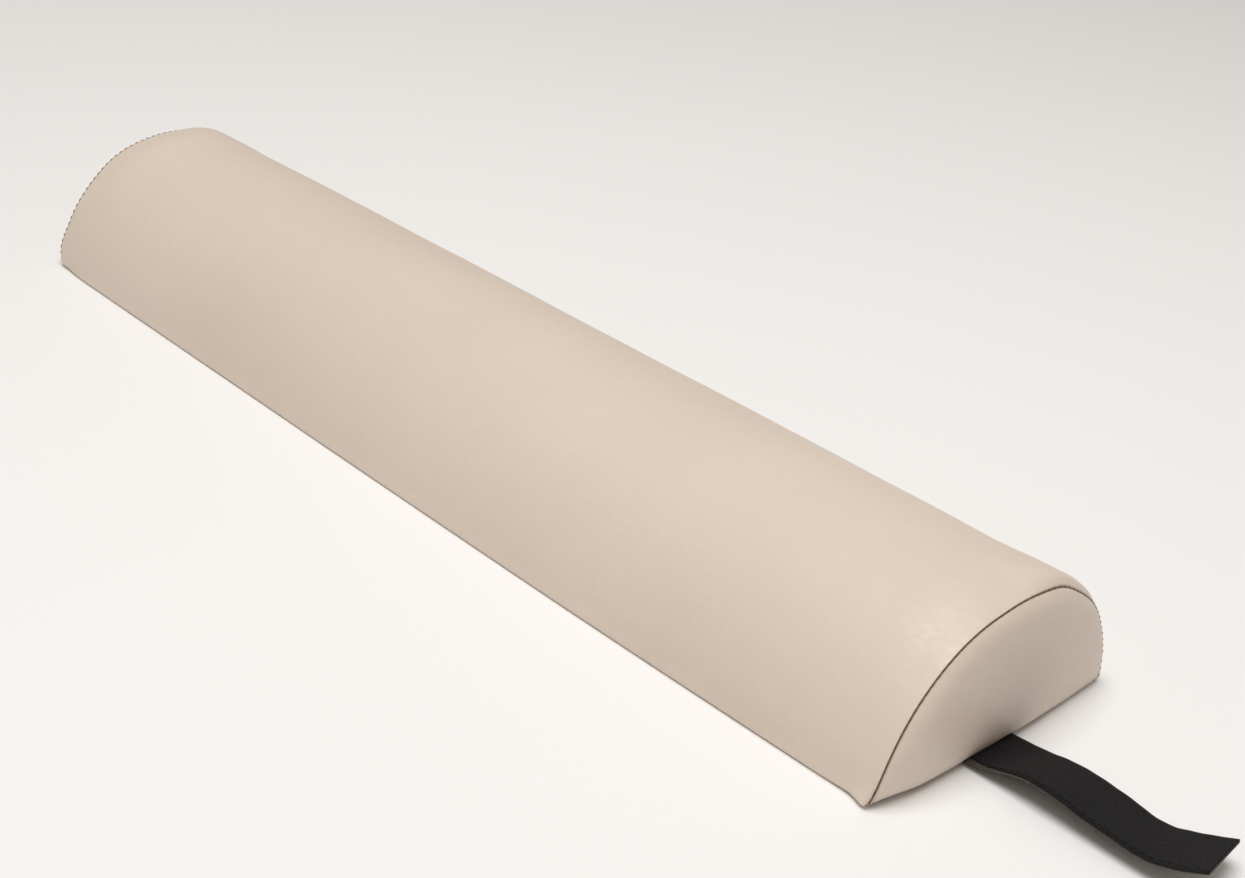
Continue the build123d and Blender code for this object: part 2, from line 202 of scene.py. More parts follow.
def seam_rise(y, z, side):
    """How far an end seam lies outside a plain ellipse."""
    if side == PLAIN_SIDE:
        return 1.4 * np.exp(-(((y - 20) / 28) ** 2)) * smooth((z - 20) / 20)
    rise = 1.6 * np.exp(-(((y - 28) / 11) ** 2)) - 0.8 * np.exp(-(((y + 10) / 14) ** 2))
    rise += 1.0 * np.exp(-(((y - 52) / 14) ** 2))
    return rise * smooth((z - 20) / 20)


def seam_section(side):
    """Outline of an end seam. It is a little pointed behind the ridge."""
    pts = section(SEAM_HALF_WIDTH, SEAM_HEIGHT, 2.0, SEAM_FLOOR, SEAM_EDGE, ZIP_ANGLE, ZIP_ANGLE)
    y, z = pts[:, 0], pts[:, 1]
    out = pts + outward(pts) * seam_rise(y, z, side)[:, None]
    if side == STRAP_SIDE:
        out[:, 1] -= 0.85 * near_strap(y) * (z < 12)
    return out


def seam_x(points, side):
    """How far from the middle each point of an end seam lies."""
    y, z = points[:, 0], points[:, 1]
    low = np.exp(-np.maximum(z - SEAM_FLOOR, 0) / 9.0)
    front, back = smooth((-y - 44) / 30), smooth((y - 44) / 30)
    bow = np.clip(1 - (y / 62) ** 2, 0, 1)
    x = HALF + (0.7 * bow - 3.5 * front - 0.5 * back) * low
    if side == PLAIN_SIDE:
        x = x - 4.0 * smooth((-y - 25) / 35) * smooth((z - 8) / 20)
    return x


def hem_angles(x):
    """Angles of the two hems at x. They close up past the ends of the zip."""
    opening = ZIP_OPENING * smooth((ZIP_HALF + 4 - abs(x)) / 5.0)
    return ZIP_ANGLE - opening, ZIP_ANGLE + opening


def body_section(x):
    """The sheet's section at x, clear of the rolled ends."""
    low, high = hem_angles(x)
    pts = section(RADIUS, BODY_HEIGHT, BODY_POWER, 0.0, EDGE, low, high)
    flare = FLARE if x > 0 else PLAIN_FLARE * FLARE
    rise = flare * (1 - smooth((HALF - abs(x) - 7) / FLARE_REACH)) * smooth((pts[:, 1] - 20) / 45)
    rise *= smooth((pts[:, 0] + 5) / 35)
    pts = pts + outward(pts) * rise[:, None]
    draw = through([-HALF, -150, 0, 150, HALF], [-0.8, 0.0, 0.4, 0.0, -3.0], np.array([x]))[0]
    pts[:, 0] -= draw * np.exp(-pts[:, 1] / 22) * smooth(-pts[:, 0] / 70)
    return pts


def ear(x, pts, side):
    """Pushes the front lower corner out beside an end seam."""
    size = EAR if side == STRAP_SIDE else PLAIN_EAR * EAR
    near = np.exp(-(((HALF - 4.5 - np.abs(x)) / 5.5) ** 2)) * np.exp(-pts[:, 1] / 4)
    near = near * smooth((-pts[:, 0] - 62) / 8)
    pts[:, 0] -= size * near
    return pts


# The two sheets meet in a narrow groove. Each point of its walls is (along the surface, down into
# it) from the seam line, and the surface leans 27 degrees over there.
GROOVE = ((-0.32, 0.0), (-0.16, 0.3), (-0.13, 0.8), (-0.12, 1.5))
LEAN = math.radians(27)


def groove_point(along, down):
    """(outwards along X, inwards in the section) of a point of the groove."""
    c, s = math.cos(LEAN), math.sin(LEAN)
    return along * c - down * s, along * s + down * c


def end_rows(side):
    """Rows of the sheet where it curves in to an end seam, outwards, and how far each lies from
    the seam."""
    seam = seam_section(side)
    x_seam, n = seam_x(seam, side), outward(seam)
    fullness = (1.9 + 16 * smooth((seam[:, 0] - 2) / 45))[:, None]  # it turns in later at the back
    rows, reach = [], []
    for gap in (24, 20, 16.5, 13.5, 11, 9, 7.3, 5.8, 4.5, 3.4, 2.5, 1.7, 1.0, 0.5):
        start = body_section(side * (HALF - gap))
        yz = ear(x_seam - gap, start + (seam - start) * (1 - gap / ROLL) ** fullness, side)
        rows.append(np.column_stack([side * (x_seam - gap), yz]))
        reach.append(gap * 1.05)
    for along, down in GROOVE:
        out, inward = groove_point(along, down)
        yz = ear(x_seam + out, seam - n * inward, side)
        rows.append(np.column_stack([side * (x_seam + out), yz]))
        reach.append(0.0)
    return rows, reach


def cover_grid():
    """The wrapped sheet as rows of points from the plain end to the strap end, and each row's
    distance from the nearest end seam."""
    gaps = np.concatenate([np.arange(0, 40, 4.0), np.arange(40, HALF - ROLL, 5.5)])
    xs = HALF - ROLL - gaps
    xs = np.concatenate([-xs, xs[::-1]])
    first, first_reach = end_rows(PLAIN_SIDE)
    last, last_reach = end_rows(STRAP_SIDE)
    rows, reach = first[::-1], first_reach[::-1]
    for x in xs:
        side = STRAP_SIDE if x > 0 else PLAIN_SIDE
        seam = seam_section(side)
        lean = (seam_x(seam, side) - HALF) * smooth((abs(x) - HALF + 60) / 52) * side
        yz = ear(x + lean, body_section(x), side)
        rows.append(np.column_stack([x + lean, yz]))
        reach.append(HALF - abs(x) + 0.05 * ROLL)
    return np.array(rows + last), np.array(reach + last_reach)


# ------------------------------------------------------------------ the foam's push

CLOTH_FRAMES = 20


def inflate(grid, held, loop, start, cap, pressure):
    """Cloth simulation of a sheet on its foam. The sheet starts `start` mm inside its shape, is held
    where it is sewn or lies on the floor, and swells until it has moved by at most `cap` mm.
    Returns how far each point ends from its shape."""
    rows, columns = grid.shape[:2]
    inset = grid - grid_normals(grid, loop) * (start * (1 - held))[..., None]
    obj = new_mesh("swelling_sheet", inset.reshape(-1, 3), grid_faces(rows, columns, loop))
    pins = obj.vertex_groups.new(name="sewn")
    for i, weight in enumerate(held.ravel()):
        if weight > 0.01:
            pins.add([i], float(weight), "REPLACE")
    mod = obj.modifiers.new("cloth", "CLOTH")
    mod.settings.quality = 6
    mod.settings.vertex_group_mass = "sewn"
    mod.settings.use_pressure = True
    mod.settings.uniform_pressure_force = pressure
    mod.settings.effector_weights.gravity = 0
    mod.collision_settings.use_collision = False
    mod.point_cache.frame_start, mod.point_cache.frame_end = 1, CLOTH_FRAMES
    scene = bpy.context.scene
    for number in range(1, CLOTH_FRAMES + 1):
        scene.frame_set(number)
    shape = obj.evaluated_get(bpy.context.evaluated_depsgraph_get()).data
    swelled = np.empty(len(shape.vertices) * 3)
    shape.vertices.foreach_get("co", swelled)
    scene.frame_set(1)
    mesh = obj.data
    bpy.data.objects.remove(obj)
    bpy.data.meshes.remove(mesh)
    moved = swelled.reshape(grid.shape) / MM - inset
    length = np.linalg.norm(moved, axis=2, keepdims=True)
    moved *= np.minimum(1, cap / np.maximum(length, 1e-9))
    return inset + moved - grid


def spread(values, some_rows, some_columns, rows, columns):
    """Values known at some rows and columns of a grid, read at all of them."""
    out = np.empty((len(some_rows), columns, 3))
    for i in range(len(some_rows)):
        for k in range(3):
            out[i, :, k] = np.interp(np.arange(columns), some_columns, values[i, :, k])
    full = np.empty((rows, columns, 3))
    for j in range(columns):
        for k in range(3):
            full[:, j, k] = np.interp(np.arange(rows), some_rows, out[:, j, k])
    return full


def softened(values, passes):
    """Values on a grid, each averaged with its neighbours. The first and last rows stay."""
    for _ in range(passes):
        values[1:-1] = (values[:-2] + 2 * values[1:-1] + values[2:]) / 4
        values[:, 1:-1] = (values[:, :-2] + 2 * values[:, 1:-1] + values[:, 2:]) / 4
    return values


def evened(at, moved, points):
    """The push of the foam along X as one smooth surface over an end panel, read at points."""

    def terms(y, z):
        y, z = y / 70, z / 35 - 1
        return np.stack([y**i * z**k for i in range(5) for k in range(5 - i)], -1)

    known = terms(at[..., 1].ravel(), at[..., 2].ravel())
    best = np.linalg.lstsq(known, moved[..., 0].ravel(), rcond=None)[0]
    return terms(points[..., 1], points[..., 2]) @ best


def picked(count, step, always=()):
    """Every step-th number below count, with the last one and those in always."""
    return np.array(sorted({*range(0, count, step), count - 1, *always}))


def puckers(reach, along):
    """Small dents and rises beside a seam, `reach` mm from it and `along` mm down it."""
    wave = np.sin(along / 3.9 + 1.1) + 0.7 * np.sin(along / 2.3 + 0.4)
    wave += 0.9 * np.sin(along / 7.7 + 2.0)
    beside = 0.11 * wave * np.exp(-reach / 8) * (1 - np.exp(-reach / 1.5))
    pull = -0.10 * (0.5 + 0.5 * np.cos(2 * math.pi * along / STITCH_PITCH)) * np.exp(-reach / 1.3)
    return beside + pull


def run_length(points):
    """How far along a line each of its points lies."""
    steps = np.linalg.norm(np.diff(points, axis=0), axis=1)
    return np.concatenate([[0], np.cumsum(steps)])


# ------------------------------------------------------------------ cover

cover_points, cover_reach = cover_grid()
rows, columns = cover_points.shape[:2]
inner_rows = np.flatnonzero(cover_reach > 0)
lip_rows = inner_rows[0] - 1, inner_rows[-1] + 1

some_rows = picked(rows, 3, lip_rows)
some_rows = some_rows[(some_rows >= lip_rows[0]) & (some_rows <= lip_rows[1])]
some_columns = picked(columns, 5)
coarse = cover_points[some_rows][:, some_columns]
held = np.zeros(coarse.shape[:2])
held[[0, -1]] = 1
held[:, [0, -1]] = 1
held = np.maximum(held, 1 - smooth((coarse[..., 2] - 1.0) / 6))
swell = inflate(coarse, held, loop=False, start=1.0, cap=2.2, pressure=60)
swell = softened(spread(swell, some_rows, some_columns, rows, columns), 8)
swell *= smooth(cover_reach / 14)[:, None, None]
cover_points += swell

seam_run = run_length(seam_section(STRAP_SIDE))
dents = puckers(cover_reach[:, None], seam_run[None, :])
x, y, z = cover_points[..., 0], cover_points[..., 1], cover_points[..., 2]
dents += 0.16 * np.sin(x / 31 + 0.9 * np.sin(seam_run / 47)) * np.sin(seam_run / 29 + x / 118)
dents += 0.09 * np.sin(x / 13 + seam_run / 41) * np.sin(seam_run / 17 - x / 57)
dents *= smooth(z / 8) * smooth(cover_reach / 1.0 + 0.4)[:, None]
cover_points += grid_normals(cover_points) * dents[..., None]

OUT = np.array([0, math.cos(ZIP_ANGLE), math.sin(ZIP_ANGLE)])
UP = np.array([0, -math.sin(ZIP_ANGLE), math.cos(ZIP_ANGLE)])
HEM_FOLD = ((-1.2, 2.1), (0.0, 1.7), (0.25, 0.9), (0.2, 0.3))  # (towards the zip, inwards)
lower_lip = [cover_points[:, 0] + UP * e - OUT * i for e, i in HEM_FOLD]
upper_lip = [cover_points[:, -1] - UP * e - OUT * i for e, i in HEM_FOLD[::-1]]
whole = np.concatenate([np.stack(lower_lip, 1), cover_points, np.stack(upper_lip, 1)], 1)
cover = new_mesh("cover_wrap_skin", whole.reshape(-1, 3), grid_faces(*whole.shape[:2]))
# Painted shade: the rows down in the end-seam groove are marked, and the vinyl is darkened there to stand
# in for the shadow in the groove.
painted_groove_shade = np.exp(-((cover_reach / 0.3) ** 2))[:, None] * np.ones(whole.shape[1])
mark(cover, "seam", painted_groove_shade)
solidify(cover, SHEET)


# ------------------------------------------------------------------ end panels


def panel_crown(y, z, side):
    """How far an end panel stands out at a place: it rounds over near its seams and is nearly flat
    in its middle."""
    a, b = SEAM_HALF_WIDTH, SEAM_HEIGHT
    rho = np.sqrt((y / a) ** 2 + (z / b) ** 2)
    slope = np.sqrt((y / a**2) ** 2 + (z / b**2) ** 2) / np.maximum(rho, 1e-6)
    from_arch = np.maximum((1 - rho) / np.maximum(slope, 1e-3) + seam_rise(y, z, side), 0)
    from_base = np.maximum(z - SEAM_FLOOR, 0)
    edge = (1 - np.exp(-from_arch / SHOULDER)) * (1 - np.exp(-from_base / FOOT))
    return CROWN * (1 - 0.32 * smooth((y - 5) / 50)) * edge + 1.0 * np.clip(1 - rho, 0, 1)


def panel_grid(side):
    """Rows of closed outlines from the bottom of the seam out to the crown, and each row's distance
    from the seam."""
    seam = seam_section(side)[:-1]
    x_seam, n = seam_x(seam, side), outward(seam)
    strap = np.zeros(len(seam))
    if side == STRAP_SIDE:
        strap = near_strap(seam[:, 0]) * (seam[:, 1] < 12)
    centre = np.array([0.0, CROWN_MIDDLE])
    rows, reach = [], []
    for along, down in GROOVE[::-1]:
        out, inward = groove_point(-along, down)
        yz = seam - n * inward
        yz[:, 1] += 1.6 * strap
        rows.append(np.column_stack([side * (x_seam + out), yz]))
        reach.append(0.0)
    out, inward = groove_point(-GROOVE[0][0], 0.0)
    for q in np.linspace(0, 1, 44)[1:] ** 1.7:
        keep = 1 - 0.985 * q
        yz = centre + (seam - n * inward - centre) * keep
        yz[:, 1] += 1.6 * strap * np.clip(1 - q / 0.12, 0, 1)
        dent = np.zeros(len(seam))
        if side == STRAP_SIDE:  # the panel is drawn in over the strap
            aside = (yz[:, 0] - (STRAP_FRONT + STRAP_BACK) / 2) / 17
            dent = 0.9 * np.exp(-(aside**4)) * np.exp(-yz[:, 1] / 9) * (1 - np.exp(-yz[:, 1] / 3))
        crown = panel_crown(yz[:, 0], yz[:, 1], side) * (1.0 if side == STRAP_SIDE else PLAIN_CROWN)
        x = seam_x(yz, side) + out + crown - dent
        rows.append(np.column_stack([side * x, yz]))
        reach.append(45 * q)
    return np.array(rows), np.array(reach)


def build_end_panel(side, name):
    """The D-shaped sheet of one end, pushed out by the foam and drawn in along its seam."""
    pts, reach = panel_grid(side)
    if side != STRAP_SIDE:  # keeps the faces outward at both ends
        pts = pts[:, ::-1]
    r, c = pts.shape[:2]
    some_rows = np.array(sorted({3, *range(6, r, 4), r - 1}))
    some_columns = np.arange(0, c, 6)
    coarse = pts[some_rows][:, some_columns]
    held = np.zeros(coarse.shape[:2])
    held[0] = 1
    held = np.maximum(held, 1 - smooth((coarse[..., 2] - 2.5) / 6))
    swell = inflate(coarse, held, loop=True, start=0.5, cap=1.5, pressure=0.5)
    swell = evened(coarse, swell, pts)
    swell *= smooth(reach / 12)[:, None] * smooth((pts[..., 2] - 1) / 14)
    pts[..., 0] += swell
    run = run_length(pts[0])
    dents = puckers(reach[:, None], run[None, :]) * smooth(pts[..., 2] / 9)
    ripple = 0.1 * np.sin(pts[..., 1] / 11 + 0.5) * np.sin(pts[..., 2] / 9 + 1.2)
    dents += ripple * smooth(reach / 8)[:, None]
    pts = pts + grid_normals(pts, True) * dents[..., None]
    faces = grid_faces(r, c, True)
    tip = r * c
    last = (r - 1) * c
    faces += [(last + (j + 1) % c, last + j, tip) for j in range(c)]
    obj = new_mesh(name, np.vstack([pts.reshape(-1, 3), pts[-1].mean(0)]), faces)
    # Painted shade: the rows down in the end-seam groove are marked, and the vinyl is darkened there to
    # stand in for the shadow in the groove.
    near = np.append((np.exp(-((reach / 0.22) ** 2))[:, None] * np.ones(c)).ravel(), 0)
    mark(obj, "seam", near)
    solidify(obj, SHEET)
    return obj


panels = {
    STRAP_SIDE: build_end_panel(STRAP_SIDE, "end_panel_strap_skin"),
    PLAIN_SIDE: build_end_panel(PLAIN_SIDE, "end_panel_plain_skin"),
}


# ------------------------------------------------------------------ foam inside


def build_foam():
    """The core. It stays under the cover, by more where the sheet curves in, and has round ends."""
    tip = np.array([308, 311, 312.4, 313])
    stations = np.concatenate([-tip[::-1], np.linspace(-300, 300, 61), tip])
    rows = []
    for x in stations:
        drop = 3.4 + 3.6 * smooth((abs(x) - 278) / 26) + 6 * np.clip((abs(x) - 308) / 5, 0, 1) ** 2
        size = RADIUS - drop, BODY_HEIGHT - drop, BODY_POWER
        pts = section(*size, 1.6 + (drop - 3.2) * 0.3, 4.0, ZIP_ANGLE, ZIP_ANGLE)[:-1]
        rows.append(np.column_stack([np.full(len(pts), x), pts]))
    pts = np.array(rows)[:, ::3]
    r, c = pts.shape[:2]
    faces = grid_faces(r, c, True)
    faces += [tuple(range(c)), tuple((r - 1) * c + j for j in range(c))[::-1]]
    return new_mesh("foam_piece", pts.reshape(-1, 3), faces)


foam = build_foam()

# ------------------------------------------------------------------ threads


def stitches(name, path, normals, length, pitch, radius):
    """Stitches of one thread along a path, each a short arched length of thread whose ends go down
    into their needle holes."""
    run = run_length(path)
    count = int((run[-1] - length) // pitch)
    sides, knots = 7, 9
    points, faces = [], []
    turn = np.linspace(0, 2 * math.pi, sides, endpoint=False)
    for s in range(count + 1):
        at = s * pitch + (run[-1] - count * pitch - length) / 2
        u = at + length * np.linspace(0, 1, knots)
        arch = np.sin(np.linspace(0, math.pi, knots)) ** 0.5
        centre = np.stack([np.interp(u, run, path[:, k]) for k in range(3)], 1)
        up = np.stack([np.interp(u, run, normals[:, k]) for k in range(3)], 1)
        up /= np.linalg.norm(up, axis=1, keepdims=True)
        centre = centre + up * (arch * radius * 1.9 - radius * 1.3)[:, None]
        t = np.gradient(centre, axis=0)
        t /= np.linalg.norm(t, axis=1, keepdims=True)
        side = np.cross(t, up)
        side /= np.linalg.norm(side, axis=1, keepdims=True)
        top = np.cross(side, t)
        thick = radius * (0.55 + 0.45 * arch)
        start = s * knots * sides
        ring = centre[:, None] + thick[:, None, None] * (
            np.cos(turn)[None, :, None] * side[:, None] + np.sin(turn)[None, :, None] * top[:, None]
        )
        points.append(ring.reshape(-1, 3))
        faces += grid_faces(knots, sides, True, start)
        faces.append(tuple(start + j for j in range(sides)))
        faces.append(tuple(start + (knots - 1) * sides + j for j in range(sides))[::-1])
    return new_mesh(name, np.vstack(points), faces)


def seam_thread(side, name):
    """The stitches along one end seam, in the mouth of its groove."""
    seam = seam_section(side)
    n = outward(seam)
    x = seam_x(seam, side)
    if side == STRAP_SIDE:
        seam = seam + np.stack([0 * x, 0.4 * near_strap(seam[:, 0]) * (seam[:, 1] < 12)], 1)
    out, inward = groove_point(0.0, 0.12)
    path = np.column_stack([side * (x + out), seam - n * inward])
    normals = np.column_stack([np.full(len(n), side * math.sin(LEAN)), n * math.cos(LEAN)])
    return stitches(name, path, normals, STITCH + 0.5, STITCH_PITCH, SEAM_THREAD_RADIUS)


seam_threads = [
    seam_thread(STRAP_SIDE, "end_seam_stitches_strap_side"),
    seam_thread(PLAIN_SIDE, "end_seam_stitches_plain"),
]


def hem_thread(sign, name):
    """Topstitching that holds a zip tape under a hem of the cover."""
    angle = ZIP_ANGLE + sign * (ZIP_OPENING + 3.2 / RADIUS)
    use = np.flatnonzero(np.abs(cover_points[:, 0, 0]) < ZIP_HALF + 2)
    path = []
    for row in cover_points[use]:
        part = row[:12] if sign < 0 else row[-40:][::-1]
        phi = np.arctan2(part[:, 2], part[:, 1])
        order = np.argsort(phi)
        path.append([np.interp(angle, phi[order], part[order, k]) for k in range(3)])
    normals = np.tile([0, math.cos(angle), math.sin(angle)], (len(path), 1))
    return stitches(name, np.array(path), normals, STITCH, STITCH_PITCH, HEM_THREAD_RADIUS)


hem_threads = [hem_thread(-1, "zip_stitches_lower"), hem_thread(1, "zip_stitches_upper")]

# ------------------------------------------------------------------ zip


def zip_point(x, across, height):
    """A point of the zip: `across` mm up from the coil's middle and `height` mm off its tapes."""
    angle = ZIP_ANGLE + across / RADIUS
    r = TAPE_FACE + height
    return np.stack(np.broadcast_arrays(x, r * np.cos(angle), r * np.sin(angle)), -1)


def build_zip_tape(sign, name):
    """A woven tape, flat, with a slightly raised selvage."""
    end = ZIP_HALF + ZIP_TAPE_TUCK
    xs = np.linspace(-end, end, 193)
    across = sign * np.array([0.5, 0.9, 1.4, 2.6, 4.0, 5.5, 7.5, 9.3, 10.2, 10.7, 11.4])
    lift = np.array([0.0, 0.1, 0.0, 0, 0, 0, 0, 0, 0, 0.06, 0.0]) - 0.1
    pts = zip_point(xs[:, None], across[None, :], lift[None, :])
    if sign < 0:  # keeps the faces outward on both tapes
        pts = pts[:, ::-1]
    obj = new_mesh(name, pts.reshape(-1, 3), grid_faces(*pts.shape[:2]))
    solidify(obj, ZIP_TAPE_THICKNESS)
    return obj


def build_coil(sign, name):
    """One side's coil: a springy filament wound flat, sewn along its tape's edge."""
    turns = int(2 * COIL_HALF / COIL_PITCH)
    theta = np.arange(turns * 10 + 1) * (2 * math.pi / 10)
    x = -COIL_HALF + theta / (2 * math.pi) * COIL_PITCH + (COIL_PITCH / 2 if sign > 0 else 0)
    across = sign * (0.98 - 1.25 * np.cos(theta))
    height = 0.68 + 0.42 * np.sin(theta)
    line = zip_point(x, across, height)
    t = np.gradient(line, axis=0)
    t /= np.linalg.norm(t, axis=1, keepdims=True)
    side = np.cross(t, np.array([1.0, 0, 0]))
    side /= np.linalg.norm(side, axis=1, keepdims=True)
    top = np.cross(side, t)
    turn = np.linspace(0, 2 * math.pi, 5, endpoint=False)
    ring = line[:, None] + FILAMENT_RADIUS * (
        np.cos(turn)[None, :, None] * side[:, None] + np.sin(turn)[None, :, None] * top[:, None]
    )
    faces = grid_faces(len(line), 5, True)
    faces += [tuple(range(5)), tuple((len(line) - 1) * 5 + j for j in range(5))[::-1]]
    return new_mesh(name, ring.reshape(-1, 3), faces)


zip_tapes = [build_zip_tape(1, "zip_tape_upper_weave"), build_zip_tape(-1, "zip_tape_lower_weave")]
zip_coils = [build_coil(1, "zip_coil_upper_filament"), build_coil(-1, "zip_coil_lower_filament")]

# ------------------------------------------------------------------ strap

# Heights of the strap's two edges, which lie in one long wave that is higher at the front.
REACH = [0, 8, 18, 28, 42, 57, 71, 78, 84, 92, 104]
BACK_TOP = [1.9, 1.9, 2.6, 4.3, 4.9, 3.6, 1.9, 2.6, 4.7, 7.9, 13.2]
FRONT_TOP = [2.4, 4.0, 7.6, 10.8, 11.5, 9.9, 9.1, 8.7, 9.3, 12.3, 19.0]


def strap_rows(at):
    """Front and back points and the upward normal of the strap's upper face."""
    at = np.asarray(at, float)
    r = np.clip(at, 0, STRAP_REACH)
    skew = smooth((r - 66) / 38)  # the front corner of its free end reaches further out
    front_y, back_y = np.full(len(at), STRAP_FRONT), STRAP_BACK - 1.6 * np.exp(-r / 16)
    front = np.stack([HALF + at + 5.0 * skew, front_y, through(REACH, FRONT_TOP, r)], 1)
    back = np.stack([HALF + at - 1.2 * skew, back_y, through(REACH, BACK_TOP, r)], 1)
    middle = (front + back) / 2
    t = np.gradient(middle, axis=0)
    w = back - front
    n = np.cross(t, w)
    n[at < 4] = (0, 0, 1)
    return front, back, n / np.linalg.norm(n, axis=1, keepdims=True)


def build_tape(name, depth, front_shift, back_shift, crown):
    """A tape with a flat selvage along each edge. depth is how far its upper face lies under the
    strap's, and crown how far its middle stands above its selvages."""
    at = np.concatenate([np.linspace(-STRAP_TAIL, 0, 9)[:-1], np.linspace(0, STRAP_REACH, 131)])
    front, back, n = strap_rows(at)
    r = np.maximum(at, 0)
    front = front + np.stack([0 * r, front_shift(r), 0 * r], 1)
    back = back + np.stack([0 * r, back_shift(r), 0 * r], 1)
    width = STRAP_BACK - STRAP_FRONT
    share = np.concatenate([[0, 0.006, 0.03], np.linspace(0.05, 0.95, 25), [0.97, 0.994, 1]])
    inside = np.clip(np.minimum(share, 1 - share) * width / SELVAGE, 0, 1)
    edge = SELVAGE_STEP * (inside < 0.15)
    top = crown * smooth((inside - 0.75) / 0.25) - edge
    upper = front[:, None] + share[None, :, None] * (back - front)[:, None]
    wave = 0.10 * np.sin(at[:, None] / 2.1 + 3 * share[None, :]) * np.sin(at[:, None] / 5.3 + 1)
    wave *= (inside < 1)[None, :]
    upper_face = upper + n[:, None] * (top[None, :, None] - depth - crown + wave[..., None])
    lower_face = upper - n[:, None] * (depth + TAPE - edge[None, :, None])
    pts = np.concatenate([upper_face, lower_face[:, ::-1]], 1)
    r_count, c = pts.shape[:2]
    faces = grid_faces(r_count, c, True)
    faces += [tuple(range(c)), tuple((r_count - 1) * c + j for j in range(c))[::-1]]
    return new_mesh(name, pts.reshape(-1, 3), faces)


# The hook tape comes out of the seam a little in front of the loop tape and shows there.
loop_tape = build_tape(
    "strap_loop_tape_skin", 0.0, lambda r: 5.2 * np.exp(-r / 14), lambda r: 0 * r + 0.1, 0.22
)
hook_tape = build_tape(
    "strap_hook_tape_skin", TAPE + 0.02, lambda r: 0 * r, lambda r: 0 * r - 0.2, 0.0
)


def edge_thread(share, inset, name):
    """The stitches that sew the two tapes together, `inset` mm in Y from one edge."""
    front, back, n = strap_rows(np.linspace(12, STRAP_REACH - 3, 160))
    path = front + (back - front) * share
    path[:, 1] += inset
    return stitches(name, path - 0.02 * n, n, STITCH, STITCH_PITCH, STRAP_THREAD_RADIUS)


edge_threads = [
    edge_thread(0.0, 2.6, "strap_edge_stitches_front"),
    edge_thread(1.0, -2.4, "strap_edge_stitches_back"),
]


def build_tack():
    """The row that tacks the two tapes together beside the seam."""
    front, back, n = strap_rows(np.array([4.5, 5.0, 5.5]))
    share = np.linspace(0.24, 0.92, 40)[:, None]
    path = front[1] + (back[1] - front[1]) * share
    normals = np.repeat(n[1:2], len(path), 0)
    return stitches("strap_tack_stitches", path, normals, STITCH, STITCH_PITCH, HEM_THREAD_RADIUS)


tack_thread = build_tack()

# ------------------------------------------------------------------ materials


class Finish:
    """A procedural material put together a layer at a time."""

    def __init__(self, name, metallic=0.0, specular=0.5, coat=0.0, sheen=0.0):
        self.mat = bpy.data.materials.new(name)
        self.mat.use_nodes = True
        self.tree = self.mat.node_tree
        self.shader = self.tree.nodes["Principled BSDF"]
        self.shader.inputs["Metallic"].default_value = metallic
        self.shader.inputs["Specular IOR Level"].default_value = specular
        self.shader.inputs["Coat Weight"].default_value = coat
        self.shader.inputs["Sheen Weight"].default_value = sheen
        self.coords = self.tree.nodes.new("ShaderNodeTexCoord").outputs["Object"]
        self.colour = None
        self.normal = None

    def node(self, kind, **values):
        """A new node. An underscore in a socket's name stands for its space."""
        n = self.tree.nodes.new("ShaderNode" + kind)
        for key, value in values.items():
            n.inputs[key.replace("_", " ")].default_value = value
        return n

    def link(self, a, b):
        self.tree.links.new(a, b)

    def noise(self, scale, detail=4.0, stretch=None):
        n = self.node("TexNoise", Scale=scale, Detail=detail)
        self.link(self.stretched(stretch), n.inputs["Vector"])
        return n.outputs["Fac"]

    def cells(self, scale, stretch=None, feature="F1"):
        n = self.node("TexVoronoi", Scale=scale)
        n.feature = feature
        self.link(self.stretched(stretch), n.inputs["Vector"])
        return n.outputs["Distance"]

    def waves(self, scale, direction, distortion=0.0, stretch=None):
        n = self.node("TexWave", Scale=scale, Distortion=distortion)
        n.bands_direction = direction
        self.link(self.stretched(stretch), n.inputs["Vector"])
        return n.outputs["Fac"]

    def stretched(self, stretch):
        if stretch is None:
            return self.coords
        n = self.node("Mapping")
        n.inputs["Scale"].default_value = stretch
        self.link(self.coords, n.inputs["Vector"])
        return n.outputs["Vector"]

    def ramp(self, value, low, high, out_low=0.0, out_high=1.0):
        """value from low to high, mapped to out_low to out_high and held there outside."""
        n = self.node("MapRange", From_Min=low, From_Max=high, To_Min=out_low, To_Max=out_high)
        self.link(value, n.inputs["Value"])
        return n.outputs["Result"]

    def mixed(self, factor, first, second):
        n = self.tree.nodes.new("ShaderNodeMix")
        n.data_type = "RGBA"
        self.link(factor, n.inputs["Factor"])
        for socket, value in (("A", first), ("B", second)):
            colour_input = [i for i in n.inputs if i.name == socket and i.type == "RGBA"][0]
            if isinstance(value, tuple):
                colour_input.default_value = (*value, 1)
            else:
                self.link(value, colour_input)
        return [o for o in n.outputs if o.type == "RGBA"][0]

    def bump(self, height, strength, distance):
        n = self.node("Bump", Strength=strength, Distance=distance * MM)
        self.link(height, n.inputs["Height"])
        if self.normal is not None:
            self.link(self.normal, n.inputs["Normal"])
        self.normal = n.outputs["Normal"]

    def attribute(self, name):
        n = self.tree.nodes.new("ShaderNodeAttribute")
        n.attribute_name = name
        return n.outputs["Fac"]

    def done(self, colour, roughness):
        self.link(colour, self.shader.inputs["Base Color"])
        self.link(roughness, self.shader.inputs["Roughness"])
        if self.normal is not None:
            self.link(self.normal, self.shader.inputs["Normal"])
        return self.mat


def shade(colour, factor):
    return tuple(c * factor for c in colour)


